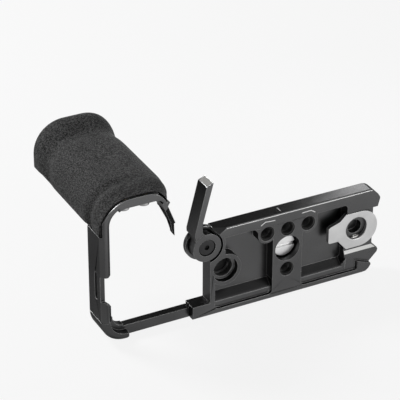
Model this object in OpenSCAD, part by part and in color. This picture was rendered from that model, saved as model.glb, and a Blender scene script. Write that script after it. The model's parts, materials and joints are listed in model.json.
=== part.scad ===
// Mount plate with a side frame, a swing arm and a soft hand grip, in millimetres.
// Each piece is drawn base down: x to the right, y to the rear, z up from the underside of the
// base plate, on the axis of the mounting screw. lie_back() then lays the piece on its back, as it
// is photographed, with the origin where that axis meets the seat.

/* [Base plate] */
// Thickness of the base plate
plate_t = 6.6; // [6.2:0.1:7.6]
// Mounting screw to the front edge
plate_front = 16.8; // [16.4:0.1:18]
// Mounting screw to the rear edge
plate_rear = 21.55; // [21.3:0.05:23]
// Mounting screw to the right end, between its horns
plate_right = 40.5; // [40:0.1:45]
// Mounting screw to the left end
plate_left = 34.4; // [34:0.1:36]
// How far the two horns stand out past the right end
horn_out = 1.9; // [1:0.1:3]
// Slanted corner at each horn
horn_cut = 3.6; // [3:0.1:4.2]
// Chamfer round the underside
edge_cut = 0.5; // [0.2:0.1:0.8]
// Web left between a pocket and the seat
web_t = 2; // [1.4:0.1:2.6]
// Solid rail in front of the pockets
front_rail = 4.4; // [3.6:0.1:5]
// Solid rail behind the pockets' ledge
rear_rail = 2.35; // [1.6:0.05:2.8]
// Width of the shallow ledge behind each pocket
ledge_w = 3.45; // [2.6:0.05:4.2]
// Depth of that ledge
ledge_d = 1.2; // [0.8:0.1:1.6]
// Run of the slope from the ledge down to a pocket's floor
slope_w = 2.05; // [1:0.05:3]
// Width of the spine between the pockets
spine_w = 13.4; // [13:0.1:15]
// Corner radius in the pockets
pocket_r = 1.6; // [0.8:0.1:2.4]

/* [Tapped holes] */
// Wall radius of the quarter-inch tapped holes
tap_r = 2.6; // [2.4:0.05:2.8]
// Mouth radius of those holes
tap_mouth_r = 3.25; // [3:0.05:3.5]
// Front row's distance from the mounting screw
tap_front = 9; // [8.8:0.1:9.4]
// Spacing of the front row's three holes
tap_step = 9.2; // [8.8:0.1:9.6]
// Rear hole's distance from the mounting screw
tap_rear = 9.5; // [9.2:0.1:11]
// Wall round the two outer holes
tap_wall = 1.6; // [1.2:0.1:2]
// Wall radius of the large tapped hole
big_r = 4.05; // [3.9:0.05:4.2]
// Mouth radius of the large hole
big_mouth_r = 5.3; // [5:0.1:5.5]
// Depth of the large hole's mouth
big_mouth_d = 2.4; // [1.4:0.1:3]
// Ring of solid metal round the large hole's mouth
big_wall = 1.7; // [1.2:0.1:2.2]
// Large hole's place left of the mounting screw
big_x = 27.7; // [27:0.1:28.4]
// Large hole's place behind the mounting screw
big_y = 2.1; // [1.6:0.1:2.8]

/* [Mounting screw] */
// Radius of the screw's thread
screw_r = 3.175; // [3:0.025:3.2]
// How far the thread stands out of the seat
screw_out = 4.8; // [4:0.1:5.5]
// Radius of the screw's head
head_r = 4.85; // [4.4:0.05:5]
// Thickness of the head
head_t = 2; // [1.6:0.1:2.4]
// Free room round the head
head_room = 0.65; // [0.3:0.05:0.8]
// Width of the slot in the head
slot_w = 1.6; // [1.2:0.1:2]
// Depth of the slot in the head
slot_d = 1.2; // [0.8:0.1:1.4]
// Shoulder of the plate that the head bears on
shoulder_t = 0.9; // [0.7:0.1:1.2]
// Recess above the shoulder for the retaining clip
clip_recess = 0.7; // [0.65:0.05:0.9]
// Thickness of the clip
clip_t = 0.5; // [0.4:0.05:0.55]
// Outer radius of the clip
clip_r = 4.3; // [4:0.1:4.6]
// Radius of the screw's neck in the clip
neck_r = 2.4; // [2.1:0.05:2.5]
// Opening of the clip
clip_gap = 3; // [2:0.1:3.6]

/* [Seat pads] */
// Thickness of a seat pad
pad_t = 0.5; // [0.4:0.1:0.8]
// Mounting screw to the near edge of the front pad and of the rear pad
pad_near = 5.4; // [5.2:0.1:6]
// Width of those two pads
pad_w = 9; // [8.6:0.1:9.6]
// Mounting screw to their left end
pad_left = 20; // [14:0.5:21]
// Mounting screw to their right end
pad_right = 35; // [30:0.5:36]
// Width of the pad over the large hole
pad_big_w = 11; // [10:0.1:12]

/* [Key] */
// Radius of the key's round end
key_r = 8.05; // [7.8:0.05:8.4]
// Thickness of the key
key_t = 1.8; // [1.5:0.1:2]
// Radius of the hole in the key
key_hole_r = 4.75; // [4.2:0.05:5]
// Middle of the round end to the plate's right end
key_inset = 7; // [6.6:0.1:7.6]
// Length of the key from the middle of the round end to its blade's tip
key_reach = 14.7; // [13:0.1:15]
// Width of the key's blade
key_blade_w = 7; // [6:0.1:8]
// Play between the key and its recess
key_play = 0.25; // [0.15:0.05:0.4]
// Radius of a key magnet
key_magnet_r = 2.5; // [2:0.1:2.6]
// Thickness of a key magnet
key_magnet_t = 1.5; // [1:0.1:2]
// Radius of the relief bore under the key's hole
relief_r = 3; // [2.4:0.1:3.1]
// Depth of that bore past the recess
relief_d = 3; // [2:0.1:3.2]

/* [Swing arm] */
// Arm's pivot left of the mounting screw
pivot_x = 35.7; // [35.5:0.1:36.2]
// Arm's pivot in front of the mounting screw
pivot_y = 9.8; // [9.4:0.1:10.2]
// Radius of the arm's knuckle
knuckle_r = 6.1; // [5.8:0.1:6.3]
// Pivot to the blade's inner face
blade_off = 7.05; // [6.6:0.05:7.3]
// Thickness of the knuckle
knuckle_t = 4; // [3.6:0.1:4.2]
// Gap round the knuckle in its recess
knuckle_room = 0.7; // [0.4:0.1:0.9]
// Thickness of the washer between knuckle and plate
washer_t = 0.3; // [0.2:0.05:0.4]
// Height of the arm's blade
arm_h = 7.4; // [6.6:0.1:8]
// Pivot to the near corner of the arm's tip
arm_reach = 26.1; // [25:0.1:26.6]
// Blade thickness at the tip
arm_tip_t = 2.6; // [2.2:0.1:3]
// Blade thickness beside the knuckle
arm_root_t = 2.4; // [2:0.1:2.6]
// How much longer the tip's far side is
arm_slant = 1.9; // [1.4:0.1:2.2]
// Lean of the open arm from straight ahead
arm_lean = 14.2; // [12:0.1:16]
// Angle from the open to the closed arm
arm_travel = 35.3; // [33:0.1:37]
// Gap between the closed arm and the frame
arm_gap = 0.3; // [0.2:0.05:0.5]
// Radius of the pivot screw's shoulder
pivot_r = 2.5; // [2.2:0.05:2.7]
// Radius of the pivot screw's head
pivot_head_r = 3.3; // [3:0.05:3.6]
// Thickness of that head
pivot_head_t = 1.5; // [1.2:0.1:1.8]
// Radius of the pivot screw's thread
pivot_thread_r = 1.5; // [1.25:0.05:1.6]
// Play of the arm on its pivot screw
pivot_play = 0.05; // [0.02:0.01:0.09]
// Thickness of the magnets in the arm and frame
magnet_t = 0.9; // [0.7:0.1:1]
// Width of the arm's magnet
arm_magnet_w = 2.3; // [1.4:0.1:2.4]
// Height of the arm's magnet
arm_magnet_h = 6.1; // [4:0.1:6.4]
// Width of the frame's magnet
frame_magnet_w = 1.4; // [1.2:0.1:1.6]
// Height of the frame's magnet
frame_magnet_h = 4.6; // [4:0.1:4.8]

/* [Side frame] */
// Mounting screw to the outer face of the side wall
side_x = 80.6; // [79:0.1:84]
// Thickness of the side wall
side_t = 2; // [1.6:0.1:2.4]
// Height of the side wall
side_h = 12.4; // [11:0.1:14]
// Width of the flange along the foot of the side wall
flange_w = 4.2; // [3.4:0.1:4.4]
// Height of that flange
flange_h = 3.2; // [2.6:0.1:3.4]
// Bevel along the foot of the side wall
side_cut = 1.7; // [1.4:0.1:2.2]
// Bevel along the flange's inner edge
flange_cut = 1.4; // [0.6:0.1:1.5]
// Radius of the rear left corner
corner_r = 10; // [8:0.1:11]
// Middle of the rear left corner behind the mounting screw
corner_y = 12.2; // [10:0.1:12.4]
// How far round the corner the tall wall goes, in degrees
corner_turn = 56; // [40:1:70]
// Length of the low hook past the corner
hook_l = 1.1; // [0.5:0.1:3]
// Length of the strap slot
strap_l = 12; // [10:0.5:13]
// Height of the strap slot
strap_h = 2; // [1.5:0.1:2.4]
// Middle of the strap slot above the underside
strap_z = 5.7; // [5.2:0.1:6.4]
// Middle of the strap slot in front of the mounting screw
strap_y = 2.8; // [0:0.1:6]
// Length of the notch under the strap slot
notch_l = 11; // [9:0.5:12]
// Depth of that notch
notch_d = 1.8; // [1.2:0.1:2.2]
// Depth of the rear rail, front to back
rail_w = 4.3; // [3.6:0.1:4.8]
// Underside of the rear rail above the underside of the plate
rail_z = 3.2; // [3:0.1:3.8]
// Seam between the base plate and the side frame
seam_x = 42; // [41:0.1:46]
// Mounting screw to the front of the arch
arch_front = 40.2; // [39.8:0.1:41]
// Width of the arch at the front
arch_w = 3.7; // [3.5:0.1:4.2]
// Height of the arch
arch_h = 7; // [6.5:0.1:7.5]
// Mounting screw to the arch's right side
arch_right = 52.4; // [52:0.1:53]
// Width of the arch on the right
arch_right_w = 1.4; // [1.2:0.1:2]
// Outer radius of the arch's left corner
arch_left_r = 13.4; // [12:0.2:14]
// Outer radius of the arch's right corner
arch_right_r = 8.8; // [7:0.1:9.5]
// Thickness of the foot that the grip stands on
foot_t = 0.8; // [0.6:0.1:1]
// Wall of the arch behind the grip
arch_wall = 1.8; // [1.4:0.1:2]
// How far the arch's thin leg reaches behind the arm's tip
leg_l = 12.2; // [10:0.1:12.6]
// Thickness of that leg
leg_t = 1.8; // [1.4:0.1:2.2]
// Height of the leg at its tip
leg_tip_h = 2; // [1.5:0.1:4]

/* [Hand grip] */
// Height of the grip above the underside of the plate
grip_top = 63.6; // [55:0.1:72]
// How far the grip stands out of the side wall
grip_proud = 0.2; // [0.1:0.1:0.6]
// Mounting screw to the front of the grip at its waist
grip_front = 42.6; // [42:0.1:45]
// Mounting screw to the right of the grip at its waist
grip_right = 48.2; // [46:0.1:50]
// Flare of the grip's rim
rim_out = 2.6; // [1:0.1:4]
// Height of the flare
rim_h = 11; // [7:0.5:16]
// Taper of the grip at its foot, in front
taper_front = 2; // [1.6:0.1:2.2]
// Taper of the grip at its foot, on the right
taper_right = 3; // [2:0.1:3.1]
// Height of that taper
taper_h = 10; // [6:0.5:16]
// Rear edge of the grip's left side, in front of the mounting screw
grip_back_left = 26; // [24:0.5:28]
// Rear edge of the grip's right side, in front of the mounting screw
grip_back_right = 33; // [31.6:0.1:34]
// Outer radius of the grip's left corner at its waist
grip_left_r = 13; // [11.5:0.1:13.5]
// Outer radius of the grip's right corner at its waist
grip_right_r = 10; // [9.4:0.1:12]
// Thickness of the rigid core
core_t = 1.6; // [1.2:0.1:2]
// Radius of a grip screw's head
grip_head_r = 2.3; // [2:0.1:2.5]
// Thickness of that head
grip_head_t = 1.5; // [1:0.1:1.6]
// Radius of a grip screw's shank
grip_screw_r = 1.25; // [1:0.05:1.3]
// Middle of the grip screws above the underside
grip_screw_z = 3.2; // [3.1:0.05:3.6]
// Distance between the grip screws
grip_screw_step = 8.3; // [7:0.1:12]
// Left grip screw's distance from the mounting screw
grip_screw_x = 69.6; // [68:0.1:70]
// Outer radius of a threaded insert
insert_r = 2; // [1.7:0.1:2.2]

/* [Hidden] */
$fn = 64;

// A hair more than a cut needs, the gap between bonded pieces, and room round a screw or clip
eps = 0.1;
bond = 0.05;
run_in = 0.02;
screw_room = 0.15;
clip_room = 0.3;
far = 60;

black = [0.13, 0.13, 0.14];
rubber = [0.09, 0.09, 0.09];
steel = [0.78, 0.78, 0.76];
brass = [0.75, 0.62, 0.32];

pocket_floor = plate_t - web_t;
pocket_top = -plate_front + front_rail;
ledge_rear = plate_rear - rear_rail;
ledge_front = ledge_rear - ledge_w;
floor_rear = ledge_front - slope_w;
ledge_r = 1.5;
boss_fillet = 2.8;
left_wall = 2.2;
pocket_left = -plate_left + left_wall;
lug_w = 4.8;
lug_down = 3.4;

head_seat = plate_t - clip_recess - shoulder_t;
key_x = plate_right - key_inset;
key_hole_x = key_x - 1.6;
key_hole_y = -0.5;
key_floor = key_t + eps;
key_wall_x = key_x - 6.3;
key_magnet_y = key_hole_r + key_magnet_r - 0.9;

strip_w = 1.7;
strip_y = key_r + key_play + strip_w;
rear_horn = plate_right + horn_out + 0.8;
block_x = 33;

tip_face = sqrt(pow(arm_tip_t, 2) + pow(arm_slant, 2));
frame_magnet_x = 1.05;
block_wall = 0.35;
block_w = frame_magnet_x + frame_magnet_w / 2 + block_wall;
block_l = 2.6;
block_bevel = 1.6;

recess_r = knuckle_r + knuckle_room;
knuckle_in = 0.2;
recess_d = knuckle_in + knuckle_t + washer_t;
lug_wall = 0.5;
lug_r = recess_r + lug_wall;
pivot_head_in = 0.55;
socket_d = 1.2;
pivot_socket_r = 1.15;
grip_socket_r = 0.9;
grip_socket_d = 0.8;

side_in = side_x - flange_w;
corner_x = -side_x + corner_r;
hook_y = corner_y + corner_r;
hook_w = flange_w - 0.8;
hook_h = rail_z + eps;
arch_in_front = arch_front - arch_w;
arch_in_right = arch_right + arch_right_w;
core_front = arch_in_front + arch_wall + bond + core_t;
core_left = side_x - 1.25;
core_right = arch_right - bond;
core_foot_w = 19;
pad_corner = 1;
back_end = 0.3;
back_slope = (grip_back_right - grip_back_left) / (side_x + grip_proud - grip_right - back_end);

module lie_back() {
    rotate([-90, 0, 0]) translate([0, 0, -plate_t]) children();
}

module box(x0, y0, z0, x1, y1, z1) {
    translate([x0, y0, z0]) cube([x1 - x0, y1 - y0, z1 - z0]);
}

// Rectangle with round corners, between two corners
module round_rect(x0, y0, x1, y1, r) {
    translate([x0 + r, y0]) square([x1 - x0 - 2 * r, y1 - y0]);
    translate([x0, y0 + r]) square([x1 - x0, y1 - y0 - 2 * r]);
    for (x = [x0 + r, x1 - r], y = [y0 + r, y1 - r]) translate([x, y]) circle(r);
}

// Everything below a plane at 45 degrees that faces the turned -x side and crosses z = 0 at x0
module bevel(x0, turn = 0) {
    rotate([0, 0, turn]) translate([x0, 0, 0]) rotate([0, 45, 0])
        translate([-far, -2 * far, -far]) cube([2 * far, 4 * far, far]);
}

// A hole through the plate with a countersunk mouth on the underside
module tapped_hole(x, y, r, mouth_r) {
    translate([x, y, -eps]) cylinder(h = plate_t + 2 * eps, r = r);
    translate([x, y, -eps]) cylinder(h = mouth_r - r + eps, r1 = mouth_r + eps, r2 = r);
}

/* base plate */

module plate_outline() {
    horn = plate_right + horn_out;
    polygon([
        [-seam_x, ledge_front], [-plate_left, ledge_front], [-plate_left, -plate_front],
        [horn - horn_cut - 1.5, -plate_front], [horn - horn_cut, -plate_front + 0.45],
        [horn - horn_cut + 1.1, -plate_front + 1.2], [horn - 1.1, -plate_front + horn_cut - 1],
        [horn - 0.1, -plate_front + horn_cut + 0.6], [horn, -plate_front + horn_cut + 1.6],
        [horn - 0.9, -key_r - key_play],
        [plate_right, -key_r - key_play], [plate_right, strip_y],
        [rear_horn - 0.5, strip_y + 1.8], [rear_horn, strip_y + 2.8],
        [rear_horn - 0.3, strip_y + 3.8], [block_x + 6.2, plate_rear - 4],
        [block_x + 6.5, plate_rear - 3], [block_x + 5.6, plate_rear - 1.6],
        [block_x + 4.2, plate_rear - 0.5], [block_x + 2.4, plate_rear], [-seam_x, plate_rear]
    ]);
}

// The deep part of a pocket, seen from below: -1 left, 1 right
module pocket_floor_2d(side) {
    inner = spine_w / 2;
    difference() {
        if (side < 0) round_rect(pocket_left, pocket_top, -inner, floor_rear, pocket_r);
        if (side > 0) round_rect(inner, pocket_top, key_wall_x, floor_rear, pocket_r);
        translate([side * tap_step, -tap_front]) circle(tap_r + tap_wall);
        translate([side * tap_step - (tap_r + tap_wall), pocket_top - eps])
            square([2 * (tap_r + tap_wall), -tap_front - pocket_top + eps]);
        if (side < 0) translate([-tap_step - (tap_r + tap_wall), pocket_top]) difference() {
            translate([-boss_fillet, -eps]) square([boss_fillet + eps, boss_fillet + eps]);
            translate([-boss_fillet, boss_fillet]) circle(boss_fillet);
        }
        translate([side * inner - lug_w / 2, pocket_top - eps])
            square([lug_w, -tap_front - pocket_top + lug_down]);
        translate([-big_x, big_y]) circle(big_mouth_r + big_wall);
        translate([-plate_left - 1, big_y - 9]) square([plate_left - big_x + 1, 11]);
        translate([-pivot_x, -pivot_y]) circle(recess_r + 1.3);
    }
}

module pocket(side) {
    x0 = side < 0 ? pocket_left : spine_w / 2;
    x1 = side < 0 ? -spine_w / 2 : key_wall_x - 1;
    translate([0, 0, -eps]) linear_extrude(pocket_floor + eps) pocket_floor_2d(side);
    translate([x0, 0, 0]) rotate([90, 0, 90]) linear_extrude(x1 - x0) polygon([
        [floor_rear - 1, pocket_floor], [floor_rear, pocket_floor], [ledge_front, ledge_d + 0.8],
        [ledge_front + 0.9, ledge_d], [ledge_front + 0.9, -eps], [floor_rear - 1, -eps]
    ]);
    translate([0, 0, -eps]) linear_extrude(ledge_d + eps)
        round_rect(x0, ledge_front - 1, x1, ledge_rear, ledge_r);
}

// The rear horn stands at the ledge's level, up to a corner block with one sloped side
module horn_ledge() {
    translate([0, 0, -eps]) linear_extrude(ledge_d + eps) {
        translate([key_wall_x - 4, ledge_front - 1])
            square([block_x - 1.2 - key_wall_x + 4, ledge_rear - ledge_front + 1]);
        polygon([
            [key_wall_x, 0], [key_wall_x, ledge_front + 1], [block_x - 1.2, ledge_front - 0.6],
            [block_x, ledge_front - 0.5], [block_x + 6.2, plate_rear - 4],
            [block_x + far, plate_rear - 4], [block_x + far, 0]
        ]);
    }
    translate([0, ledge_rear, 0]) rotate([90, 0, 0]) linear_extrude(ledge_rear - ledge_front + 0.6)
        polygon([[block_x - 1.3, ledge_d], [block_x - 0.5, ledge_d], [block_x, -eps], [block_x - 1.3, -eps]]);
}

module key_outline(grow = 0) {
    translate([key_x, 0]) circle(key_r + grow);
    translate([key_x, 0]) polygon([
        [-key_reach, -key_blade_w / 2], [-key_reach + 0.8, -key_blade_w / 2 - 0.6],
        [-9.5, -5.5 - grow], [-6.9, -key_r - grow], [0, -key_r - grow], [0, key_r + grow],
        [-6.3, key_r + grow], [-9.3, 4.6 + grow], [-10.1, key_blade_w / 2],
        [-key_reach + 0.6, key_blade_w / 2], [-key_reach, key_blade_w / 2 - 0.6]
    ]);
}

module key_recess() {
    translate([0, 0, -eps]) linear_extrude(key_floor + eps) {
        key_outline(key_play);
        translate([key_x, -key_r - key_play]) square([far, 2 * (key_r + key_play)]);
        translate([key_wall_x, 0]) square([far, strip_y]);
    }
    translate([key_wall_x, 0, 0]) rotate([90, 0, 90]) linear_extrude(far) polygon([
        [0, key_floor], [strip_y, key_floor], [strip_y + 1.5, ledge_d - eps], [0, ledge_d - eps]
    ]);
    translate([key_hole_x, key_hole_y, 0]) {
        cylinder(h = key_floor + relief_d, r = relief_r);
        for (y = [-key_magnet_y, key_magnet_y]) translate([0.8, y, key_floor - eps])
            cylinder(h = key_magnet_t + eps, r = key_magnet_r + bond);
    }
}

module base_plate() {
    color(black) lie_back() difference() {
        union() {
            linear_extrude(plate_t) plate_outline();
            translate([-pivot_x, -pivot_y, recess_d]) cylinder(h = plate_t - recess_d, r = lug_r);
        }
        bevel(-plate_front + edge_cut, 90);
        bevel(-plate_rear + edge_cut, -90);
        for (side = [-1, 1]) pocket(side);
        horn_ledge();
        for (i = [-1:1]) tapped_hole(i * tap_step, -tap_front, tap_r, tap_mouth_r);
        tapped_hole(0, tap_rear, tap_r, tap_mouth_r);
        tapped_hole(-big_x, big_y, big_r, big_r);
        translate([-big_x, big_y, -eps]) cylinder(h = big_mouth_d + eps, r = big_mouth_r);
        translate([0, 0, -eps]) cylinder(h = head_seat + eps, r = head_r + head_room);
        cylinder(h = plate_t + eps, r = screw_r + pivot_play);
        translate([0, 0, plate_t - clip_recess]) cylinder(h = far, r = clip_r + clip_room);
        key_recess();
        arm_corner();
        pivot_hole();
    }
}

// Recess for the knuckle, open to the front and the left, and the slanted corner beside it
module arm_corner() {
    translate([-pivot_x, -pivot_y, -eps]) cylinder(h = recess_d + eps, r = recess_r);
    box(-pivot_x - far, -far, -eps, -pivot_x, -pivot_y + recess_r - 4, recess_d);
    difference() {
        box(-seam_x - far, -far, -eps, -plate_left, ledge_front - eps, plate_t + eps);
        translate([-pivot_x, -pivot_y, recess_d]) cylinder(h = far, r = lug_r);
    }
    difference() {
        box(-far, -far, recess_d - eps, -pivot_x + 3.4, -pivot_y, plate_t + eps);
        translate([-pivot_x, -pivot_y, recess_d - 1]) cylinder(h = far, r = lug_r);
    }
    translate([-26.4, -plate_front, 0]) rotate([0, 0, 60.7]) bevel(0);
    box(-far, -far, -eps, -pivot_x + 3.4, -pivot_y - 2, recess_d);
}

module pivot_hole() {
    translate([-pivot_x, -pivot_y, 0]) cylinder(h = plate_t + eps, r = pivot_thread_r + bond);
}

/* swing arm and its pivot, in the arm's own frame: origin on the pivot, blade along -y */

module at_arm(turn = 0) {
    translate([-pivot_x, -pivot_y, 0]) rotate([0, 0, arm_lean + turn]) children();
}

module blade_outline() {
    polygon([
        [-knuckle_r, 0], [-knuckle_r, -2.4], [-blade_off, -5.4], [-blade_off, -arm_reach],
        [-blade_off + arm_tip_t, -arm_reach - arm_slant], [-blade_off + arm_root_t, -9.5],
        [-blade_off + arm_root_t + 1, -6.4], [-1.2, -knuckle_r + 1.2], [0, 0]
    ]);
}

// The frame of the arm's slanted tip face: x along the face, y into the arm
module at_tip() {
    translate([-blade_off, -arm_reach, 0]) rotate([0, 0, -atan(arm_slant / arm_tip_t)]) children();
}

// Magnet or its slot, from a given depth: negative is outside the arm
module magnet_slot(x, z, w, h, y0, room = 0, depth = magnet_t) {
    at_tip() translate([x - w / 2 - room, y0, z - h / 2 - room]) cube([w + 2 * room, depth, h + 2 * room]);
}
module arm_slot(y0, room = 0, depth = magnet_t) {
    magnet_slot(tip_face / 2, arm_h / 2 + 0.1, arm_magnet_w, arm_magnet_h, y0, room, depth);
}
module frame_slot(y0, room = 0, depth = magnet_t) {
    magnet_slot(frame_magnet_x, arm_h - frame_magnet_h / 2 - 0.5, frame_magnet_w, frame_magnet_h, y0, room, depth);
}

module swing_arm() {
    color(black) lie_back() at_arm() difference() {
        union() {
            linear_extrude(arm_h) blade_outline();
            translate([0, 0, knuckle_in]) cylinder(h = knuckle_t, r = knuckle_r);
        }
        translate([0, 0, knuckle_t + knuckle_in]) cylinder(h = far, r = lug_r + 2 * knuckle_in);
        translate([0, 0, -eps]) cylinder(h = knuckle_in + eps, r = knuckle_r + eps);
        translate([0, 0, -eps])
            cylinder(h = pivot_head_in + bond + pivot_head_t + eps, r = pivot_head_r + screw_room + eps);
        cylinder(h = far, r = pivot_r + pivot_play);
        arm_slot(-eps, bond, magnet_t + eps + bond);
    }
}

module arm_magnet() {
    color(steel) lie_back() at_arm() arm_slot(0);
}

module pivot_screw() {
    color(steel) lie_back() translate([-pivot_x, -pivot_y, 0]) difference() {
        union() {
            translate([0, 0, pivot_head_in]) cylinder(h = pivot_head_t, r = pivot_head_r);
            translate([0, 0, pivot_head_in]) cylinder(h = recess_d - pivot_head_in - bond, r = pivot_r);
            translate([0, 0, pivot_head_in])
                cylinder(h = plate_t - pivot_head_in - knuckle_in, r = pivot_thread_r);
        }
        cylinder(h = pivot_head_in + socket_d, r = pivot_socket_r, $fn = 6);
    }
}

module pivot_washer() {
    color(steel) lie_back() translate([-pivot_x, -pivot_y, knuckle_in + knuckle_t + bond]) difference() {
        cylinder(h = washer_t - 2 * bond, r = knuckle_r - 1.1);
        translate([0, 0, -eps]) cylinder(h = washer_t + eps, r = pivot_r + pivot_play);
    }
}

/* side frame */

// Outline that the arch, the core and the inside of the grip share: a rounded front, open behind
module arch_plan(left, front, right, left_r, right_r) {
    translate([-left + left_r, -front + left_r]) circle(left_r);
    translate([-right - right_r, -front + right_r]) circle(right_r);
    polygon([
        [-left, 0], [-left, -front + left_r], [-left + left_r, -front],
        [-right - right_r, -front], [-right, -front + right_r], [-right, 0]
    ]);
}

module arch_hollow_plan() {
    arch_plan(side_in, arch_in_front, arch_in_right, arch_left_r - flange_w - 2, arch_right_r - 5.2);
}

// Everything on the arm's side of the closed arm's end face, less the gap
module closed_arm_space() {
    at_arm(-arm_travel) intersection() {
        translate([-blade_off - arm_gap, -2 * far, -far]) cube([3 * far, 4 * far, 2 * far]);
        at_tip() translate([-far, -arm_gap, -far]) cube([2 * far, 2 * far, 2 * far]);
    }
}

// Block that carries the frame's magnet, facing the closed arm's tip
module magnet_block() {
    at_arm(-arm_travel) at_tip() translate([0, -arm_gap, 0]) rotate([90, 0, 90])
        linear_extrude(block_w) polygon([
            [-block_l, 0], [-block_bevel, 0], [0, block_bevel], [0, arm_h], [-block_l, arm_h]
        ]);
}

// Room in the soft grip for that block and for the closed arm's tip
module sleeve_relief() {
    at_arm(-arm_travel) at_tip() {
        translate([-1, -arm_gap - block_l - 3 * bond, -1])
            cube([block_w + bond + 1, far, arm_h + 1 + bond]);
        translate([-1, -arm_gap, -1]) cube([far, far, arm_h + 1 + arm_gap]);
    }
}

// The thin leg behind the arm's tip, in the closed arm's frame
module leg() {
    at_arm(-arm_travel) translate([-blade_off - arm_gap, -arm_reach, 0]) intersection() {
        linear_extrude(arm_h) polygon([
            [0, -1], [0, leg_l - 5.2], [-0.6, leg_l - 5.2], [-2.4, leg_l], [-2.8, leg_l - 2],
            [-leg_t, leg_l - 6.4], [-leg_t, 0], [-leg_t, -4], [-0.4, -4]
        ]);
        translate([1, 0, 0]) rotate([90, 0, -90]) linear_extrude(9) polygon([
            [4, 0], [4, arm_h - 0.6], [0, arm_h - 0.6], [-leg_l + 3, leg_tip_h], [-leg_l, leg_tip_h], [-leg_l, 0]
        ]);
    }
}

module arch() {
    difference() {
        union() {
            intersection() {
                linear_extrude(foot_t) difference() {
                    arch_plan(side_x, arch_front, arch_right, arch_left_r, arch_right_r);
                    arch_hollow_plan();
                }
                box(-side_x - 1, -far, -1, 0, -grip_back_left + 2, far);
            }
            intersection() {
                linear_extrude(arch_h) difference() {
                    arch_plan(core_left - bond, arch_in_front + arch_wall, core_right + bond,
                        arch_left_r - 2.4, arch_right_r - 2.2);
                    arch_hollow_plan();
                }
                box(-side_x - 1, -far, -1, 0, -grip_back_left + 2, far);
            }
        }
        box(-arch_in_right - 1, -grip_back_right + 2, -1, 0, far, far);
        closed_arm_space();
    }
    magnet_block();
    leg();
}

// Section of the side wall on its flange: x = 0 is the outer face, y is the height
module wall_section() {
    polygon([
        [-side_cut, 0], [0, side_cut], [0, side_h], [-side_t, side_h], [-side_t, flange_h],
        [-flange_w, flange_h], [-flange_w, flange_cut], [-flange_w + flange_cut, 0]
    ]);
}

// Section of the wall round the rear corner, a hair inside the straight wall's skin so that it
// runs cleanly out of the wall's end
module turn_section() {
    polygon([
        [-side_cut - run_in, run_in], [-run_in, side_cut + run_in], [-run_in, side_h - run_in],
        [-side_t + run_in, side_h - run_in], [-side_t + run_in, hook_h], [-hook_w, hook_h],
        [-hook_w, run_in]
    ]);
}

// Section of the low hook past the tall part of the corner
module hook_section() {
    polygon([
        [-side_cut - run_in, run_in], [-run_in, side_cut + run_in], [-run_in, hook_h],
        [-hook_w, hook_h], [-hook_w, run_in]
    ]);
}

// Sweeps a section round the rear left corner, between two angles past the end of the straight
// wall; a few degrees less than none let it run into the wall, just under its skin
module corner(from, to, r) {
    translate([corner_x, corner_y, 0]) rotate([0, 0, 180 - to]) rotate_extrude(angle = to - from)
        translate([r, 0]) children();
}

module side_wall() {
    translate([-side_x, corner_y, 0]) rotate([90, 0, 0]) linear_extrude(grip_back_left - bond + corner_y)
        mirror([1, 0]) wall_section();
    corner(-3, corner_turn, corner_r) turn_section();
    corner(corner_turn, 90, corner_r) hook_section();
    translate([corner_x, hook_y, 0]) rotate([90, 0, 90]) linear_extrude(hook_l) hook_section();
}

module rear_rail() {
    translate([0, 0, rail_z]) corner(-3, 90, plate_rear - corner_y)
        translate([-rail_w - 0.6, 0]) square([rail_w + 0.6, plate_t - rail_z]);
    box(corner_x - 0.2, plate_rear - rail_w, rail_z, -seam_x, plate_rear, plate_t);
}

module grip_frame() {
    color(black) lie_back() difference() {
        union() {
            difference() {
                arch();
                bevel(-side_x + side_cut);
                arch_bevel();
            }
            side_wall();
            rear_rail();
        }
        strap_cuts();
        for (i = [0, 1]) at_grip_screw(i) {
            cylinder(h = far, r = grip_screw_r + screw_room);
            translate([0, 0, arch_in_front - 2 * grip_head_t])
                cylinder(h = 2 * grip_head_t, r = grip_head_r + screw_room);
        }
        at_arm(-arm_travel) frame_slot(-arm_gap - magnet_t - bond, bond, magnet_t + bond + eps);
    }
}

// The flange's inner bevel runs on round the arch's left corner
module arch_bevel() {
    inner_r = arch_left_r - flange_w - 2;
    translate([-side_in + inner_r, -arch_in_front + inner_r, -eps]) intersection() {
        cylinder(h = flange_cut + eps, r1 = inner_r + flange_cut + eps, r2 = inner_r);
        translate([-far, -far, 0]) cube([far - inner_r / 2, far + 0.01, flange_cut + eps]);
    }
    translate([-side_in, -arch_in_front + inner_r, 0]) rotate([-90, 0, 0])
        linear_extrude(arch_in_front) polygon([
            [-flange_cut - eps, eps], [-flange_cut, 0], [eps, -flange_cut - eps], [2, -flange_cut - eps], [2, eps]
        ]);
}

module strap_cuts() {
    translate([-side_x - 1, -strap_y, strap_z]) rotate([90, 0, 90]) linear_extrude(side_t + 2)
        round_rect(-strap_l / 2, -strap_h / 2, strap_l / 2, strap_h / 2, strap_h / 2 - 0.05);
    notch_front = -strap_y - notch_l / 2;
    notch_rear = -strap_y + notch_l / 2;
    translate([0, 0, -eps]) linear_extrude(notch_d + eps) polygon([
        [-side_x - 2, notch_front], [-side_in + 1, notch_front], [-side_in + 1, notch_rear + 3.6],
        [-side_x + side_t - 0.6, notch_rear], [-side_x - 2, notch_rear]
    ]);
    linear_extrude(flange_h + eps) polygon([
        [-side_x + side_t, notch_front], [-side_in + 1, notch_front], [-side_in + 1, notch_rear + 3.6],
        [-side_x + side_t, notch_rear + 0.6]
    ]);
}

module frame_magnet() {
    color(steel) lie_back() at_arm(-arm_travel) frame_slot(-arm_gap - magnet_t);
}

/* mounting screw */

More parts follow.
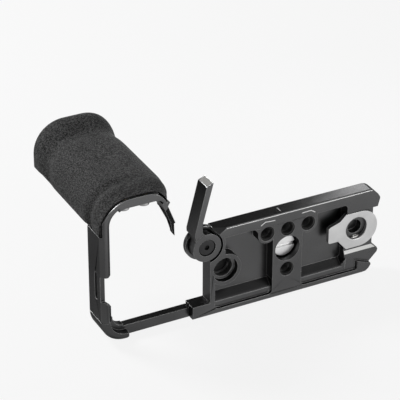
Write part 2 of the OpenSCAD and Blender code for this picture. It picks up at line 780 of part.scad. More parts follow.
module mount_screw() {
    color(steel) lie_back() difference() {
        union() {
            translate([0, 0, head_seat - head_t - bond]) cylinder(h = head_t, r = head_r);
            translate([0, 0, head_seat - 1]) cylinder(h = shoulder_t + 1, r = screw_r);
            translate([0, 0, head_seat - 1]) cylinder(h = shoulder_t + 3, r = neck_r);
            translate([0, 0, plate_t]) cylinder(h = screw_out - 0.6, r = screw_r);
            translate([0, 0, plate_t + screw_out - 0.6]) cylinder(h = 0.6, r1 = screw_r, r2 = screw_r - 0.6);
        }
        box(-far, -slot_w / 2, 0, far, slot_w / 2, head_seat - head_t - bond + slot_d);
    }
}

module screw_clip() {
    color(steel) lie_back() translate([0, 0, plate_t - clip_recess + bond]) difference() {
        cylinder(h = clip_t, r = clip_r);
        translate([0, 0, -eps]) cylinder(h = clip_t + 1, r = neck_r + bond);
        box(0, -clip_gap / 2, -eps, far, clip_gap / 2, clip_t + eps);
    }
}

/* key and its magnets */

module key_tool() {
    color(steel) lie_back() difference() {
        linear_extrude(key_t) key_outline();
        translate([key_hole_x, key_hole_y, -eps]) cylinder(h = key_t + 2 * eps, r = key_hole_r);
        translate([key_hole_x, key_hole_y, -eps]) cylinder(h = 0.4 + eps, r1 = key_hole_r + 0.5, r2 = key_hole_r);
    }
}

module key_magnet(side) {
    color(steel) lie_back()
        translate([key_hole_x + 0.8, key_hole_y + side * key_magnet_y, key_floor])
            cylinder(h = key_magnet_t, r = key_magnet_r);
}
module key_magnet_front() { key_magnet(-1); }
module key_magnet_rear() { key_magnet(1); }

/* hand grip */

function smooth(t) = t <= 0 ? 0 : t >= 1 ? 1 : t * t * (3 - 2 * t);
function arc(cx, cy, r, a0, a1, n = 9) =
    [for (i = [0:n]) [cx + r * cos(a0 + (a1 - a0) * i / n), cy + r * sin(a0 + (a1 - a0) * i / n)]];

// Flare at height z: 0 at the waist, up to rim_out at the rim
function flare(z) = rim_out * smooth((z - (grip_top - rim_h)) / (rim_h - 2.4));
// Share of the foot's taper at height z
function taper(z) = 1 - smooth((z - foot_t) / taper_h);
// Edge rounding near the top and the bottom of the soft grip
function lip(z) = z > grip_top - 1.2 ? 1.2 - sqrt(max(0, 1.44 - pow(z - grip_top + 1.2, 2))) : 0;

function grip_ring(z) =
    let (
        front = grip_front + flare(z) - taper_front * taper(z) - lip(z),
        right = grip_right - 0.5 * flare(z) + taper_right * taper(z) + lip(z),
        left = side_x + grip_proud - lip(z),
        back = function (x) -grip_back_left - (side_x + grip_proud - x) * back_slope,
        rr = grip_right_r + flare(z) * 0.9
    )
    concat(
        [[-left, back(left), z]],
        [for (p = arc(-left + grip_left_r, -front + grip_left_r, grip_left_r, 180, 270)) [p[0], p[1], z]],
        [for (p = arc(-right - rr, -front + rr, rr, 270, 360 - 12)) [p[0], p[1], z]],
        [[-right - back_end, back(right + back_end), z]]
    );

grip_levels = concat(
    [for (z = [foot_t + bond : 2 : taper_h + foot_t]) z], [taper_h + foot_t + 2],
    [for (i = [0:7]) grip_top - rim_h - 3 + (rim_h + 1.8) * i / 7],
    [for (a = [30, 60, 85]) grip_top - 1.2 + 1.2 * sin(a)]
);

module grip_block() {
    rings = [for (z = grip_levels) grip_ring(z)];
    m = len(rings);
    n = len(rings[0]);
    points = [for (ring = rings) each ring];
    polyhedron(points, concat(
        [[for (j = [0:n - 1]) j]],
        [for (i = [0:m - 2], j = [0:n - 1])
            let (k = (j + 1) % n) each [
                [i * n + j, (i + 1) * n + j, (i + 1) * n + k],
                [i * n + j, (i + 1) * n + k, i * n + k]
            ]],
        [[for (j = [n - 1:-1:0]) (m - 1) * n + j]]
    ), convexity = 4);
}

module grip_sleeve() {
    color(rubber) lie_back() difference() {
        grip_block();
        translate([0, 0, -1]) linear_extrude(grip_top + 2)
            arch_plan(core_left, core_front, core_right, arch_left_r - 2, arch_right_r - 1.6);
        bevel(-side_x + side_cut - back_end);
        sleeve_relief();
        at_grip_screw(0) translate([0, 0, core_front - core_t]) cylinder(h = core_t, r = insert_r + bond);
    }
}

module grip_core() {
    color(black) lie_back() difference() {
        union() {
            translate([0, 0, arch_h + bond]) linear_extrude(grip_top - 2 - arch_h)
                intersection() {
                    core_plan();
                    union() {
                        translate([-side_x, -far]) square([20, far - grip_back_left]);
                        translate([-side_x + 10, -far]) square([far, far - grip_back_right]);
                    }
                }
            translate([0, 0, foot_t + bond]) linear_extrude(arch_h - foot_t + 1) intersection() {
                core_plan();
                translate([-grip_screw_x + grip_screw_step / 2 - core_foot_w / 2, -far])
                    square([core_foot_w, far - arch_in_front - arch_wall - bond]);
            }
        }
        for (i = [0, 1]) at_grip_screw(i) cylinder(h = far, r = insert_r + bond);
        sleeve_relief();
    }
}

module core_plan() {
    difference() {
        arch_plan(core_left - bond, core_front - bond, core_right + bond, arch_left_r - 2.05, arch_right_r - 1.65);
        arch_plan(core_left - core_t, core_front - core_t, core_right + core_t,
            arch_left_r - 2 - core_t, arch_right_r - 1.6 - core_t);
    }
}

module at_grip_screw(i) {
    translate([-grip_screw_x + i * grip_screw_step, 0, grip_screw_z]) rotate([90, 0, 0]) children();
}

module grip_screw(i) {
    color(steel) lie_back() at_grip_screw(i) difference() {
        union() {
            translate([0, 0, arch_in_front - grip_head_t - bond]) cylinder(h = grip_head_t, r = grip_head_r);
            translate([0, 0, arch_in_front - 1]) cylinder(h = arch_wall + core_t + 0.7, r = grip_screw_r);
        }
        translate([0, 0, arch_in_front - grip_head_t - 1])
            cylinder(h = 1 + grip_socket_d, r = grip_socket_r, $fn = 6);
    }
}
module grip_screw_left() { grip_screw(0); }
module grip_screw_right() { grip_screw(1); }

module grip_insert(i) {
    color(brass) lie_back() at_grip_screw(i) translate([0, 0, arch_in_front + arch_wall + 2 * bond]) difference() {
        cylinder(h = core_t - 2 * bond, r = insert_r);
        translate([0, 0, -eps]) cylinder(h = far, r = grip_screw_r + bond);
    }
}
module grip_insert_left() { grip_insert(0); }
module grip_insert_right() { grip_insert(1); }

// A thin pad glued on the seat; the pads close the tapped holes on that side
module seat_pad(x0, y0, x1, y1) {
    color(rubber) lie_back() translate([0, 0, plate_t + bond]) linear_extrude(pad_t - bond)
        round_rect(x0, y0, x1, y1, pad_corner);
}
module seat_pad_front() { seat_pad(-pad_left, -pad_near - pad_w, pad_right, -pad_near); }
module seat_pad_rear() { seat_pad(-pad_left, pad_near, pad_right, pad_near + pad_w); }
module seat_pad_left() {
    seat_pad(-big_x - pad_big_w / 2, big_y - pad_big_w / 2, -big_x + pad_big_w / 2, big_y + pad_big_w / 2);
}

base_plate();
grip_frame();
swing_arm();
pivot_screw();
pivot_washer();
arm_magnet();
frame_magnet();
mount_screw();
screw_clip();
key_tool();
key_magnet_front();
key_magnet_rear();
grip_core();
grip_sleeve();
grip_screw_left();
grip_screw_right();
grip_insert_left();
grip_insert_right();
seat_pad_front();
seat_pad_rear();
seat_pad_left();
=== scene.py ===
import json
import math

import bpy
from mathutils import Matrix, Vector

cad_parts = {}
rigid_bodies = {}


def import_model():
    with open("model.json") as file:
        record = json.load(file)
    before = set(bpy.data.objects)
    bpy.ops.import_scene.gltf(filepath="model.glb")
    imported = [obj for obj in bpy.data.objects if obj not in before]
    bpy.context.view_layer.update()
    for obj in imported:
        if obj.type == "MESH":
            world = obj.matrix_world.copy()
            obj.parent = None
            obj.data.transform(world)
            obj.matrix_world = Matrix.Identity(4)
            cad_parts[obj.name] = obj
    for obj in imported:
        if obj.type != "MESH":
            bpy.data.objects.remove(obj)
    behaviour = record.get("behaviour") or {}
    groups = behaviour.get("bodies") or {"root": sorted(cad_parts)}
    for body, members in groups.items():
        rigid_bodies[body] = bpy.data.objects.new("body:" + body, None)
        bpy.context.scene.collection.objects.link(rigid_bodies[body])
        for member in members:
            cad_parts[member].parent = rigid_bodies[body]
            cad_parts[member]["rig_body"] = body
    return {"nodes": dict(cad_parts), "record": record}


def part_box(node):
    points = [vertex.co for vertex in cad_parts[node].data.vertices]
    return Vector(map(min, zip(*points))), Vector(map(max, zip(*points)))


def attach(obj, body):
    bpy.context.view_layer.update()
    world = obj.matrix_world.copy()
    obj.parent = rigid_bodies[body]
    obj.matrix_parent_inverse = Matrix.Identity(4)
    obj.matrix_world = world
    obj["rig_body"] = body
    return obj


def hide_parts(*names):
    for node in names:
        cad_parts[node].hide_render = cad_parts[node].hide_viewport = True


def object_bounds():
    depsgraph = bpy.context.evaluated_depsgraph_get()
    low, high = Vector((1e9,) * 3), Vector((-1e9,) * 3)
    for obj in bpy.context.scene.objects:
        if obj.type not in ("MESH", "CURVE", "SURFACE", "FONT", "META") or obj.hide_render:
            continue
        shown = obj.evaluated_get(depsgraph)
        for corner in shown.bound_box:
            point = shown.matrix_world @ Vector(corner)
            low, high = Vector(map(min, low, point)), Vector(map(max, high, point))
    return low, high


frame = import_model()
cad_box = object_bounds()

# View
# The photograph looks down on the part, which lies on its back, from the front left and from
# well away. The place and turn come from a perspective fit of the plate's holes and edges.
mm = 0.001
view_azimuth = -27.458
view_elevation = 29.961
view_roll = 0.204
view_focal_length = 176.87
view_sensor = 36
view_near = 0.01
view_place = Vector((-336.585, -579.134, 404.184)) * mm

camera = bpy.data.objects.new("camera", bpy.data.cameras.new("camera"))
bpy.context.scene.collection.objects.link(camera)
camera.data.lens = view_focal_length
camera.data.sensor_width = view_sensor
camera.data.clip_start = view_near
camera.rotation_mode = "QUATERNION"
camera.rotation_quaternion = (
    Matrix.Rotation(math.radians(view_azimuth), 3, "Z")
    @ Matrix.Rotation(math.radians(90 - view_elevation), 3, "X")
    @ Matrix.Rotation(math.radians(view_roll), 3, "Z")
).to_quaternion()
camera.location = view_place
bpy.context.scene.camera = camera

# Floor, world and lamps
# A plain pale floor that keeps a soft shadow, in a white studio with a dim ceiling, so that the
# black metal mirrors a pale floor and a dark top. Four soft lamps light the object.
scene = bpy.context.scene
scene.view_settings.view_transform = "Standard"


def grey(value):
    return (value, value, value, 1)


def feed(tree, socket, value):
    """Links another node's output to a socket, or sets a plain value on it."""
    if isinstance(value, bpy.types.NodeSocket):
        tree.links.new(value, socket)
    else:
        socket.default_value = value


def node_of(tree, kind, **inputs):
    made = tree.nodes.new(kind)
    for key, value in inputs.items():
        feed(tree, made.inputs[key.replace("_", " ")], value)
    return made


def math_of(tree, operation, first, second):
    made = tree.nodes.new("ShaderNodeMath")
    made.operation = operation
    feed(tree, made.inputs[0], first)
    feed(tree, made.inputs[1], second)
    return made.outputs[0]


def mapped(tree, value, **ends):
    return node_of(tree, "ShaderNodeMapRange", Value=value, **ends).outputs[0]


def new_material(name):
    material = bpy.data.materials.new(name)
    material.use_nodes = True
    material.node_tree.nodes.clear()
    return material, material.node_tree


def show(tree, shader):
    out = tree.nodes.new("ShaderNodeOutputMaterial")
    tree.links.new(shader.outputs[0], out.inputs[0])


def seen_directly(tree):
    """One for what is seen directly, in a mirror or through glass, nought for matt faces."""
    path = tree.nodes.new("ShaderNodeLightPath")
    bounced = math_of(
        tree, "MAXIMUM", path.outputs["Is Glossy Ray"], path.outputs["Is Transmission Ray"])
    return math_of(tree, "MAXIMUM", path.outputs["Is Camera Ray"], bounced)


floor_size = 12
floor_drop = 0.0002
floor_colour = grey(0.4)
floor_glow_share = 0.88
# Painted light and painted shade in the floor's glow, which only reflections see: metal sees the
# floor brighter far in front of the object, and darker beside its left corner
far_front, near_front, front_painted_light = -0.1, -0.05, 1.5
left_side, left_end, left_painted_shade = -0.075, -0.03, 0.6


def floor_gain(tree):
    place = tree.nodes.new("ShaderNodeTexCoord")
    parts = node_of(tree, "ShaderNodeSeparateXYZ", Vector=place.outputs["Object"])
    ahead = mapped(tree, parts.outputs["Y"],
                   From_Min=far_front, From_Max=near_front, To_Min=front_painted_light)
    beside = mapped(tree, parts.outputs["X"],
                    From_Min=left_side, From_Max=left_end, To_Min=left_painted_shade)
    path = tree.nodes.new("ShaderNodeLightPath")
    seen = tree.nodes.new("ShaderNodeMix")
    feed(tree, seen.inputs[0], path.outputs["Is Camera Ray"])
    feed(tree, seen.inputs[2], math_of(tree, "MULTIPLY", ahead, beside))
    feed(tree, seen.inputs[3], 1.0)
    return seen.outputs[0]


def floor_material():
    material, tree = new_material("pale_floor")
    matt = node_of(tree, "ShaderNodeBsdfDiffuse", Color=floor_colour)
    glow = node_of(tree, "ShaderNodeEmission", Color=grey(1), Strength=floor_gain(tree))
    mix = tree.nodes.new("ShaderNodeMixShader")
    feed(tree, mix.inputs[0], math_of(tree, "MULTIPLY", seen_directly(tree), floor_glow_share))
    feed(tree, mix.inputs[1], matt.outputs[0])
    feed(tree, mix.inputs[2], glow.outputs[0])
    show(tree, mix)
    return material


bpy.ops.mesh.primitive_plane_add(size=floor_size, location=(0, 0, cad_box[0].z - floor_drop))
floor = bpy.context.object
floor.name = "floor"
floor.data.materials.append(floor_material())

# A black card on the floor, behind the left end, that only reflections show: a painted dark
# reflection that keeps the arm's broad side dark
card_size = 0.2
card_x, card_y = -0.2, 0.22
card_colour = grey(0.01)

bpy.ops.mesh.primitive_plane_add(size=card_size, location=(card_x, card_y, cad_box[0].z))
card = bpy.context.object
card.name = "black_card"
card_black, tree = new_material("card_black")
show(tree, node_of(tree, "ShaderNodeBsdfDiffuse", Color=card_colour))
card.data.materials.append(card_black)
card.visible_camera = card.visible_diffuse = card.visible_shadow = False

# The studio: white up to the height glow_top, dim from glow_end on, a little less so in front
studio_white = 1.0
studio_dim = 0.07
studio_front = 0.24
studio_fill = 0.12
front_start, front_end = -0.5, 0.3
glow_top, glow_end = 0.12, 0.3

world = bpy.data.worlds.new("studio")
scene.world = world
world.use_nodes = True
tree = world.node_tree
direction = tree.nodes.new("ShaderNodeTexCoord")
parts = node_of(tree, "ShaderNodeSeparateXYZ", Vector=direction.outputs["Generated"])
ceiling = mapped(tree, parts.outputs["Y"], From_Min=front_start, From_Max=front_end,
                 To_Min=studio_front, To_Max=studio_dim)
fade = node_of(tree, "ShaderNodeMapRange", Value=parts.outputs["Z"],
               From_Min=glow_top, From_Max=glow_end, To_Min=studio_white, To_Max=ceiling)
fade.interpolation_type = "SMOOTHSTEP"
seen = mapped(tree, seen_directly(tree), To_Min=studio_fill)
background = tree.nodes["Background"]
feed(tree, background.inputs["Color"], grey(1))
feed(tree, background.inputs["Strength"], math_of(tree, "MULTIPLY", fade.outputs[0], seen))


def lamp(name, place, aim, size, watts):
    data = bpy.data.lights.new(name, "AREA")
    data.shape = "RECTANGLE"
    data.size, data.size_y = size
    data.energy = watts
    made = bpy.data.objects.new(name, data)
    scene.collection.objects.link(made)
    made.location = place
    made.rotation_euler = (Vector(aim) - Vector(place)).to_track_quat("-Z", "Y").to_euler()
    made.visible_camera = False


# Each lamp: its place, what it points at, its width and height, and its watts
lamp("front_lamp", (0.38, -0.73, 0.29), (0, 0, 0.01), (0.4, 0.3), 1.6)
lamp("left_lamp", (-0.345, 0.46, 0.47), (-0.06, 0.03, 0.03), (0.2, 0.2), 7)
lamp("rear_lamp", (0.125, 0.115, 0.092), (0.05, 0, 0.017), (0.05, 0.05), 0.065)
lamp("arm_lamp", (-0.05, 0.231, 0.23), (-0.032, 0, 0.038), (0.06, 0.06), 0.004)

# Base plate
# A block of aluminium alloy, milled from both sides, bead blasted and anodised black. The cutter
# leaves small bevels along its edges, which catch the light; the edges also get a painted
# highlight, and white strokes are lasered on it.
nodes = frame["nodes"]
plate_bevel = 0.22 * mm
merge_gap = 0.001 * mm
bevel_rings = 2
sharp_angle = 35
smooth_angle = 30


def apply_modifier(made, name, kind, **settings):
    modifier = made.modifiers.new(name, kind)
    for key, value in settings.items():
        setattr(modifier, key, value)
    bpy.ops.object.modifier_apply(modifier=name)


def merged_copy(node, name):
    """A copy of a CAD node's mesh with its loose triangles joined, selected and active."""
    made = bpy.data.objects.new(name, nodes[node].data.copy())
    scene.collection.objects.link(made)
    bpy.ops.object.select_all(action="DESELECT")
    made.select_set(True)
    bpy.context.view_layer.objects.active = made
    bpy.ops.object.mode_set(mode="EDIT")
    bpy.ops.mesh.select_all(action="SELECT")
    bpy.ops.mesh.remove_doubles(threshold=merge_gap)
    bpy.ops.object.mode_set(mode="OBJECT")
    return made


def milled(name, width, material, cutters=()):
    """A copy of a piece with its sharp edges broken by a small bevel; it stands for the piece."""
    made = merged_copy(name, name + "_finish")
    apply_modifier(made, "bevel", "BEVEL", width=width, segments=bevel_rings,
                   limit_method="ANGLE", angle_limit=math.radians(sharp_angle),
                   use_clamp_overlap=False)
    low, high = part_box(name)
    for vertex in made.data.vertices:
        vertex.co = [min(max(v, a), b) for v, a, b in zip(vertex.co, low, high)]
    made.data.materials.clear()
    made.data.materials.append(material)
    for cutter in cutters:
        apply_modifier(made, "groove", "BOOLEAN", operation="DIFFERENCE", solver="EXACT",
                       object=cutter)
        bpy.data.objects.remove(cutter)
    bpy.ops.object.shade_smooth_by_angle(angle=math.radians(smooth_angle))
    apply_modifier(made, "flats", "WEIGHTED_NORMAL", keep_sharp=True)
    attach(made, nodes[name]["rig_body"])
    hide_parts(name)
    return made


# The tapped holes: place, wall radius and length, with their thread's depth and pitch
small_thread = (0.5 * mm, 1.27 * mm)
large_thread = (0.6 * mm, 1.59 * mm)
small_hole_most = 3
thread_steps = 40
thread_corners = 3
thread_overlap = 0.15 * mm
thread_half = 0.42

thread_holes = []
for mount in frame["record"]["mounts"]:
    if mount["kind"] == "threaded_hole":
        radius, length = mount["dims"]["r_mm"], mount["dims"]["length_mm"]
        thread = small_thread if radius < small_hole_most else large_thread
        thread_holes.append((mount["pos_m"], radius * mm, length * mm, *thread))


def thread_groove(place, radius, length, depth, pitch):
    """A cutter that winds along a hole's wall and leaves the groove of its thread."""
    start = place[1] + length / 2 - pitch / 2
    bpy.ops.object.select_all(action="DESELECT")
    bpy.ops.mesh.primitive_circle_add(vertices=thread_corners, radius=1, fill_type="NOTHING")
    made = bpy.context.object
    inner, half = radius - thread_overlap, thread_half * pitch
    corners = ((inner, -half), (radius + depth, 0), (inner, half))
    for vertex, (across, along) in zip(made.data.vertices, corners):
        vertex.co = (across, 0, along)
    apply_modifier(made, "winding", "SCREW", axis="Z", screw_offset=-pitch,
                   iterations=int((length - pitch) / pitch), steps=thread_steps,
                   render_steps=thread_steps)
    bpy.ops.object.mode_set(mode="EDIT")
    bpy.ops.mesh.select_all(action="DESELECT")
    bpy.ops.mesh.select_non_manifold()
    bpy.ops.mesh.edge_face_add()
    bpy.ops.mesh.select_all(action="SELECT")
    bpy.ops.mesh.normals_make_consistent(inside=False)
    bpy.ops.object.mode_set(mode="OBJECT")
    upright = Matrix.Rotation(math.radians(-90), 4, "X")
    made.matrix_world = Matrix.Translation((place[0], start, place[2])) @ upright
    return made


# White strokes: two brackets on the underside, by the ends of their lines in x and z, and a
# centre line on the front face
mark_grey = grey(0.8)
mark_matt = 0.5
mark_w = 0.36 * mm
mark_deep = 0.4 * mm
mark_lines = (((-12.1, 13.6), (-10.3, 14.7)), ((-10.3, 14.7), (-6.1, 14.4)),
              ((6.2, 14.5), (10.25, 14.6)), ((10.25, 14.6), (12.0, 13.5)))
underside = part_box("base_plate")[0].y
front_face = 16.8 * mm
centre_x = -2.6 * mm
centre_low, centre_high = underside + 2 * mm, underside + 4.7 * mm


def mark_strokes():
    """Each stroke's middle, its turn round y and its size."""
    centre = (centre_x, (centre_low + centre_high) / 2, front_face)
    strokes = [(centre, 0, (mark_w, centre_high - centre_low, mark_deep))]
    for (x0, z0), (x1, z1) in mark_lines:
        middle = ((x0 + x1) / 2 * mm, underside, (z0 + z1) / 2 * mm)
        length = math.hypot(x1 - x0, z1 - z0) * mm + mark_w
        strokes.append((middle, -math.atan2(z1 - z0, x1 - x0), (length, mark_deep, mark_w)))
    return strokes


def stroke_share(tree):
    """One inside the box of any stroke, nought outside."""
    place = tree.nodes.new("ShaderNodeTexCoord").outputs["Object"]
    share = 0.0
    for middle, turn, size in mark_strokes():
        box = node_of(tree, "ShaderNodeMapping", Vector=place)
        box.vector_type = "TEXTURE"
        feed(tree, box.inputs["Location"], middle)
        feed(tree, box.inputs["Rotation"], (0, turn, 0))
        feed(tree, box.inputs["Scale"], size)
        away = tree.nodes.new("ShaderNodeVectorMath")
        away.operation = "ABSOLUTE"
        feed(tree, away.inputs[0], box.outputs[0])
        x, y, z = node_of(tree, "ShaderNodeSeparateXYZ", Vector=away.outputs[0]).outputs
        far = math_of(tree, "MAXIMUM", math_of(tree, "MAXIMUM", x, y), z)
        share = math_of(tree, "MAXIMUM", math_of(tree, "LESS_THAN", far, 0.5), share)
    return share


def noise_of(tree, scale, detail, rough=0.6):
    place = tree.nodes.new("ShaderNodeTexCoord")
    made = node_of(tree, "ShaderNodeTexNoise", Vector=place.outputs["Object"], Scale=scale,
                   Detail=detail, Roughness=rough)
    return made.outputs["Fac"]


noise_span = (0.3, 0.7)


def ramp_of(tree, value, low, high, span=noise_span):
    """A ramp from one colour to another over a span of the value."""
    made = node_of(tree, "ShaderNodeValToRGB", Fac=value)
    for element, position, colour in zip(made.color_ramp.elements, span, (low, high)):
        element.position, element.color = position, colour
    return made.outputs[0]


def bump_of(tree, height, strength, distance):
    return node_of(
        tree, "ShaderNodeBump", Height=height, Strength=strength, Distance=distance).outputs[0]


def colour_mix(tree, share, first, second):
    made = tree.nodes.new("ShaderNodeMix")
    made.data_type = "RGBA"
    feed(tree, made.inputs[0], share)
    feed(tree, made.inputs[6], first)
    feed(tree, made.inputs[7], second)
    return made.outputs[2]


lean_start, lean_full = 0.002, 0.03
edge_samples = 8


def edge_share(tree, radius):
    """Share of an edge in a point: how far the rounded normal leans from the true one."""
    bevel = node_of(tree, "ShaderNodeBevel", Radius=radius)
    bevel.samples = edge_samples
    geometry = tree.nodes.new("ShaderNodeNewGeometry")
    dot = tree.nodes.new("ShaderNodeVectorMath")
    dot.operation = "DOT_PRODUCT"
    feed(tree, dot.inputs[0], bevel.outputs[0])
    feed(tree, dot.inputs[1], geometry.outputs["Normal"])
    return mapped(tree, dot.outputs["Value"], From_Min=1 - lean_start, From_Max=1 - lean_full)


def principled(tree, colour, roughness, normal=None, **values):
    shader = node_of(
        tree, "ShaderNodeBsdfPrincipled", Base_Color=colour, Roughness=roughness, **values)
    if normal:
        feed(tree, shader.inputs["Normal"], normal)
    show(tree, shader)


alloy_low = (0.083, 0.083, 0.084, 1)
alloy_high = (0.098, 0.098, 0.099, 1)
alloy_painted_highlight = grey(0.36)
alloy_graze = grey(0.4)
alloy_rough = 0.3
alloy_grain = 9000
alloy_relief = 0.02 * mm
rough_under, rough_over = 0.05, 0.06
alloy_cloud = 60
cloud_span = (0.35, 0.65)
painted_highlight_metal = 0.15
edge_width = 0.3 * mm


def blasted_surface(tree, dull=0.0):
    """Roughness and relief of the bead blasted alloy."""
    grain = noise_of(tree, alloy_grain, detail=2)
    rough = ramp_of(tree, grain, grey(alloy_rough + dull - rough_under),
                    grey(alloy_rough + dull + rough_over))
    return rough, bump_of(tree, grain, strength=0.08, distance=alloy_relief)


def alloy_material(name, low=alloy_low, high=alloy_high, metal=1.0, dull=0.0, marked=False):
    material, tree = new_material(name)
    rough, relief = blasted_surface(tree, dull)
    edge = edge_share(tree, edge_width)
    base = ramp_of(tree, noise_of(tree, alloy_cloud, detail=2), low, high, cloud_span)
    # The edges are painted lighter and made less metallic: a painted highlight
    colour = colour_mix(tree, edge, base, alloy_painted_highlight)
    if marked:
        marks = stroke_share(tree)
        colour = colour_mix(tree, marks, colour, mark_grey)
        edge = math_of(tree, "MAXIMUM", edge, math_of(tree, "MULTIPLY", marks, mark_matt))
    principled(tree, colour, rough, relief, Specular_Tint=alloy_graze,
               Metallic=mapped(tree, edge, To_Min=metal, To_Max=painted_highlight_metal))
    return material


chamfer_highlight_grey = grey(0.42)
chamfer_metal = 0.85
hole_painted_light, mouth_painted_shade = grey(0.2), grey(0.035)
slope_highlight_low, slope_highlight_high = (0.62, 0.62, 0.61, 1), (0.68, 0.68, 0.67, 1)


# The long front and rear chamfers are painted light grey: a painted highlight
def chamfer_material():
    material, tree = new_material("painted_highlight_chamfer")
    rough, relief = blasted_surface(tree)
    principled(tree, chamfer_highlight_grey, rough, relief, Specular_Tint=alloy_graze,
               Metallic=chamfer_metal)
    return material


def paint_light_and_shade(piece, material, chosen):
    """Gives the faces that a test picks, by their middle in mm and normal, their own material, with
    light or shade painted into its colour.
    """
    piece.data.materials.append(material)
    for face in piece.data.polygons:
        if chosen(face.center / mm, face.normal):
            face.material_index = len(piece.data.materials) - 1


# Where the painted highlights, painted light and painted shade go, in mm, and between which values
# the normals of their faces lie
hole_rim, mouth_depth = 0.9, 1
front_chamfer, rear_chamfer = 16, -20.8
slope_left, slope_rear, slope_front = 25, -11.6, -9.4
underside_lean = -0.95
mouth_lean = (-0.8, -0.6)
chamfer_lean, chamfer_turn = (-0.97, -0.3), 0.1
slope_lean, slope_down = (0.2, 0.6), -0.8


def between(value, ends):
    return ends[0] < value < ends[1]


def in_tapped_hole(middle, normal):
    return normal.y > underside_lean and any(
        math.hypot(middle.x - place[0] / mm, middle.z - place[2] / mm) < radius / mm + hole_rim
        for place, radius, *rest in thread_holes)


def in_hole_mouth(middle, normal):
    return (in_tapped_hole(middle, normal) and between(normal.y, mouth_lean)
            and middle.y < underside / mm + mouth_depth)


def on_chamfer(middle, normal):
    return (not between(middle.z, (rear_chamfer, front_chamfer))
            and between(normal.y, chamfer_lean) and abs(normal.x) < chamfer_turn
            and not in_tapped_hole(middle, normal))


def behind_key(middle, normal):
    return (middle.x > slope_left and between(middle.z, (slope_rear, slope_front))
            and normal.y < slope_down and between(normal.z, slope_lean))


plate = milled(
    "base_plate", plate_bevel, alloy_material("marked_alloy", marked=True),
    cutters=[thread_groove(*hole) for hole in thread_holes])
paint_light_and_shade(plate, chamfer_material(), on_chamfer)
# The tapped holes' walls are painted lighter, painted light, and their mouths darker, painted shade
paint_light_and_shade(
    plate, alloy_material("painted_light_hole", hole_painted_light, hole_painted_light, metal=0.5, dull=0.2), in_tapped_hole)
paint_light_and_shade(
    plate, alloy_material("hole_mouth", mouth_painted_shade, mouth_painted_shade, metal=0.8, dull=0.1), in_hole_mouth)
# The slope behind the key is painted light grey: a painted highlight
paint_light_and_shade(
    plate, alloy_material("painted_highlight_slope", slope_highlight_low, slope_highlight_high), behind_key)

# Grip frame
# The side wall, corner and arch that carry the hand grip, milled and anodised like the plate.
# The thin leg at the arch's free end is painted darker and rougher: painted shade.
alloy = alloy_material("black_anodised_alloy")
leg_shade_low, leg_shade_high = grey(0.012), grey(0.016)
leg_x = -54
leg_span = (15, 31.5)


def on_leg(middle, normal):
    return middle.x > leg_x and between(middle.z, leg_span)


grip_frame = milled("grip_frame", plate_bevel, alloy)
# The leg's near-black is painted shade
painted_shade_leg = alloy_material("painted_shade_leg", leg_shade_low, leg_shade_high, dull=0.2)
paint_light_and_shade(grip_frame, painted_shade_leg, on_leg)

# Swing arm
# A short arm with a slanted tip and a round knuckle, milled and anodised like the plate. It
# turns in the plate's recess and closes against the arch.
milled("swing_arm", plate_bevel, alloy)

# Pivot screw and washer
# A flat shoulder screw of blackened steel, on which the arm turns, screwed into the plate, with
# a plain steel washer under the knuckle.
small_bevel = 0.12 * mm
oxide_colour = (0.02, 0.02, 0.021, 1)
oxide_painted_highlight = grey(0.12)
oxide_edge_width = 0.15 * mm
oxide_grain = 4000
steel_cloud = 120
steel_grain = 5000
steel_relief = 0.01 * mm
steel_spread = 0.1


def dark_steel_material():
    material, tree = new_material("blackened_steel")
    rough = ramp_of(tree, noise_of(tree, oxide_grain, detail=2), grey(0.28), grey(0.4))
    # The edges are painted lighter: a painted highlight
    colour = colour_mix(tree, edge_share(tree, oxide_edge_width), oxide_colour, oxide_painted_highlight)
    principled(tree, colour, rough, Metallic=0.4)
    return material


def steel_material(name, low, high, smooth=0.3):
    material, tree = new_material(name)
    cloud = noise_of(tree, steel_cloud, detail=3)
    rough = ramp_of(tree, cloud, grey(smooth), grey(smooth + steel_spread))
    grain = noise_of(tree, steel_grain, detail=3)
    relief = bump_of(tree, grain, strength=0.1, distance=steel_relief)
    principled(tree, ramp_of(tree, cloud, grey(low), grey(high)), rough, relief, Metallic=1.0)
    return material


def dress(name, material):
    """Puts a material on a CAD node whose shape stays as it is."""
    data = nodes[name].data
    data.materials.clear()
    data.materials.append(material)


steel = steel_material("satin_steel", 0.5, 0.6)
milled("pivot_screw", small_bevel, dark_steel_material())
dress("pivot_washer", steel)

# Magnets
# Nickel plated blocks in the arm's tip and the arch, and discs under the key, pressed and glued
# into their pockets.
nickel_colour = (0.62, 0.61, 0.59, 1)
nickel_cloud = 300


def magnet_material():
    material, tree = new_material("nickel_plating")
    rough = ramp_of(tree, noise_of(tree, nickel_cloud, detail=2), grey(0.12), grey(0.2))
    principled(tree, nickel_colour, rough, Metallic=1.0)
    return material


nickel = magnet_material()
for name in ("arm_magnet", "frame_magnet", "key_magnet_front", "key_magnet_rear"):
    dress(name, nickel)

# Mounting screw and its clip
# A turned steel screw with a slotted head in the plate's counterbore. An open ring round its
# neck keeps it in the plate.
milled("mount_screw", small_bevel, steel_material("turned_steel", 0.7, 0.82))
dress("screw_clip", steel)

# Key
# A flat key of satin steel with a round end, a hole and a blade. It lies in the underside, held
# by two magnets.
key_bevel = 0.18 * mm
milled("key_tool", key_bevel, steel)

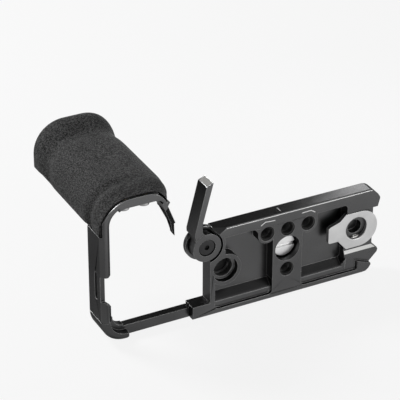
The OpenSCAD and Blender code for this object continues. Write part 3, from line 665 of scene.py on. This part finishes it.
# Hand grip
# A hard moulded core, screwed to the arch from below into brass inserts, and a soft silicone
# sleeve over it with a fine leather-like grain.
grip_screw_bevel = 0.3 * mm
core_colour = (0.03, 0.03, 0.031, 1)
core_grain = 3000
core_relief = 0.02 * mm
brass_colour = (0.72, 0.52, 0.24, 1)
brass_cloud = 500
leather_low, leather_high = grey(0.004), grey(0.084)
leather_span = (0.43, 0.59)
leather_fine, leather_coarse, coarse_share = 1800, 700, 0.3
leather_relief = 0.6 * mm
leather_rough, leather_gloss = 0.5, 0.1


def core_material():
    material, tree = new_material("moulded_core")
    grain = noise_of(tree, core_grain, detail=3)
    rough = ramp_of(tree, grain, grey(0.5), grey(0.65))
    principled(tree, core_colour, rough, bump_of(tree, grain, strength=0.15, distance=core_relief))
    return material


def silicone_material():
    material, tree = new_material("grained_silicone")
    fine = noise_of(tree, leather_fine, detail=4, rough=0.7)
    coarse = noise_of(tree, leather_coarse, detail=2)
    height = math_of(tree, "ADD", fine, math_of(tree, "MULTIPLY", coarse, coarse_share))
    colour = ramp_of(tree, fine, leather_low, leather_high, leather_span)
    relief = bump_of(tree, height, strength=1.0, distance=leather_relief)
    principled(tree, colour, leather_rough, relief, Specular_IOR_Level=leather_gloss)
    return material


def brass_material():
    material, tree = new_material("knurled_brass")
    rough = ramp_of(tree, noise_of(tree, brass_cloud, detail=2), grey(0.25), grey(0.4))
    principled(tree, brass_colour, rough, Metallic=1.0)
    return material


# The neck and the crease over the bead: height over the foot, half width, depth, and how much of
# the dent is gone on the finger side, past dent_gone
sleeve_dents = ((10.5 * mm, 2.2 * mm, 1 * mm, 0.85), (50.5 * mm, 4 * mm, 1 * mm, 0.3))
dent_full, dent_gone = -71 * mm, -57 * mm
skin_step = 0.42 * mm
soften_share, soften_rounds = 0.5, 6
hollow_middle = 28 * mm
side_lean = 0.3


def sleeve():
    """The sleeve's solid, cast as one soft skin, with the neck and the crease pressed into it."""
    made = merged_copy("grip_sleeve", "silicone_sleeve")
    apply_modifier(made, "skin", "REMESH", mode="VOXEL", voxel_size=skin_step)
    apply_modifier(made, "soften", "SMOOTH", factor=soften_share,
                   iterations=soften_rounds)
    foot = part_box("grip_frame")[0].y
    core_low, core_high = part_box("grip_core")
    inside = Vector(((core_low.x + core_high.x) / 2, 0, hollow_middle))
    moves = []
    for vertex in made.data.vertices:
        out = Vector((vertex.normal.x, 0, vertex.normal.z))
        away = vertex.co - inside
        height = vertex.co.y - foot
        across = min(max((vertex.co.x - dent_full) / (dent_gone - dent_full), 0), 1)
        dent = sum(
            deep * math.exp(-(((height - at) / wide) ** 2)) * (1 - fade * across)
            for at, wide, deep, fade in sleeve_dents)
        outer = out.length > side_lean and out.x * away.x + out.z * away.z > 0
        moves.append(vertex.co - out.normalized() * dent if outer else vertex.co.copy())
    for vertex, place in zip(made.data.vertices, moves):
        vertex.co = place
    bpy.ops.object.shade_smooth()
    made.data.materials.clear()
    made.data.materials.append(silicone_material())
    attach(made, "frame")
    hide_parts("grip_sleeve")


sleeve()
dress("grip_core", core_material())
polished_black = steel_material("polished_black_steel", 0.3, 0.4, smooth=0.16)
milled("grip_screw_left", grip_screw_bevel, polished_black)
milled("grip_screw_right", grip_screw_bevel, polished_black)
brass = brass_material()
dress("grip_insert_left", brass)
dress("grip_insert_right", brass)

# Seat pads
# Three thin rubber pads, glued to the plate's seat, so that nothing rests on bare metal. They
# also close the tapped holes on that side.
pad_colour = grey(0.02)
pad_grain = 2500
pad_relief = 0.03 * mm


def pad_material():
    material, tree = new_material("pad_rubber")
    grain = noise_of(tree, pad_grain, detail=3)
    rough = ramp_of(tree, grain, grey(0.6), grey(0.75))
    principled(tree, pad_colour, rough, bump_of(tree, grain, strength=0.2, distance=pad_relief))
    return material


rubber = pad_material()
for name in ("seat_pad_front", "seat_pad_rear", "seat_pad_left"):
    dress(name, rubber)
